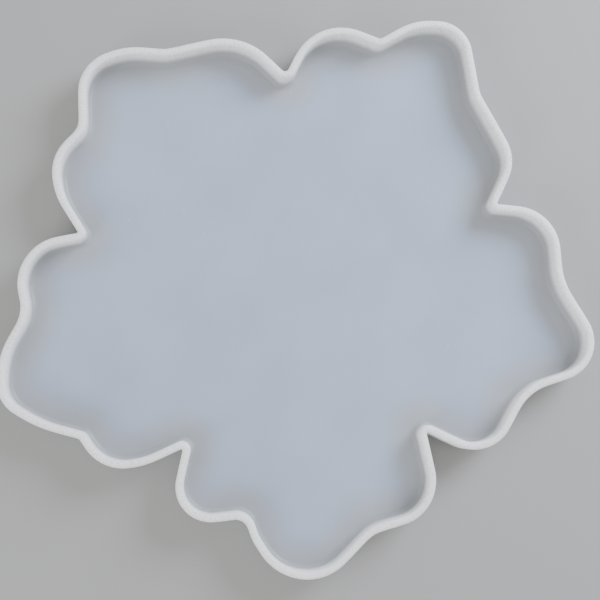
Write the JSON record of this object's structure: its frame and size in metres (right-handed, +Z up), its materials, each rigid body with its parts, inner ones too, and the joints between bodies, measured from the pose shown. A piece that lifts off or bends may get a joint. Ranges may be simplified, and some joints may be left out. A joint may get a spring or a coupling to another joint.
{
  "type": "resin casting mould",
  "caption": "Shallow open tray of translucent silicone in the outline of a flower, for casting a resin platter or tray.",
  "frame": {"origin": "on the underside, below the middle of the outline's box", "axes": "+Z up out of the open cavity, +X across the flower at its widest, +Y from the front petal towards the notch between the two upper petals"},
  "size_m": [0.2502, 0.2382, 0.016],
  "materials": {
    "silicone": "satin, translucent milky white silicone"
  },
  "bodies": {
    "root": {"silicone_mould": "silicone"}
  },
  "joints": []
}
